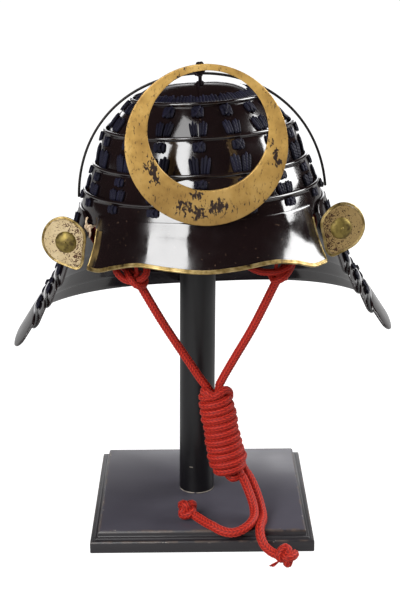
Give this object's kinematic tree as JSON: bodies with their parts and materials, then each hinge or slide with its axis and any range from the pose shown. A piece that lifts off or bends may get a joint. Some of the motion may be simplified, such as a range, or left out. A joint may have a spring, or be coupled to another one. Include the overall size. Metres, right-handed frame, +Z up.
{
  "type": "samurai helmet on a plain stand",
  "caption": "Black lacquered folding helmet of stacked laced rings with a gold crescent crest, a flared neck guard and a red chin cord, on a moulded square base with a round post.",
  "frame": {"origin": "middle of the underside of the stand's base", "axes": "+Z up along the stand's post, and the helmet's front faces -Y"},
  "size_m": [0.3697, 0.3144, 0.4783],
  "materials": {
    "lacquer": "glossy black lacquer with a brown undertone",
    "braid": "flat silk braid",
    "gilt": "worn gilding",
    "leather": "printed leather",
    "old_brass": "dulled brass",
    "black_iron": "blackened iron",
    "gold": "worn gold lacquer",
    "tie_silk": "dark silk cord",
    "stand_paint": "black paint on wood",
    "red_silk": "round silk braid"
  },
  "bodies": {
    "root": {"crown_plate": "lacquer", "bowl_ring_1": "lacquer", "bowl_ring_2": "lacquer", "bowl_ring_3": "lacquer", "bowl_ring_4": "lacquer", "crown_braid": "braid", "bowl_braid_1": "braid", "bowl_braid_2": "braid", "bowl_braid_3": "braid", "visor_plate": "lacquer", "visor_rim": "gilt", "neck_lame_1": "lacquer", "neck_lame_2": "lacquer", "neck_lame_3": "lacquer", "neck_lame_4": "lacquer", "neck_lame_5": "lacquer", "neck_braid_1": "braid", "neck_braid_2": "braid", "neck_braid_3": "braid", "neck_braid_4": "braid", "turn_back_plate_left": "lacquer", "turn_back_rim_left": "gilt", "turn_back_leather_left": "leather", "turn_back_boss_left": "old_brass", "turn_back_plate_right": "lacquer", "turn_back_rim_right": "gilt", "turn_back_leather_right": "leather", "turn_back_boss_right": "old_brass", "bail": "black_iron", "bail_rivet_left": "black_iron", "bail_rivet_right": "black_iron", "crest": "gold", "crest_holder": "black_iron", "crest_tie": "tie_silk", "stand_base": "stand_paint", "stand_post": "stand_paint", "post_head": "stand_paint", "chin_cord_loop": "red_silk", "chin_cord_tail_left": "red_silk", "chin_cord_tail_right": "red_silk", "chin_knot": "red_silk", "end_knot_left": "red_silk", "end_knot_right": "red_silk", "cord_anchor_front_left": "red_silk", "cord_anchor_front_right": "red_silk", "cord_anchor_back_left": "red_silk", "cord_anchor_back_right": "red_silk"}
  },
  "joints": []
}
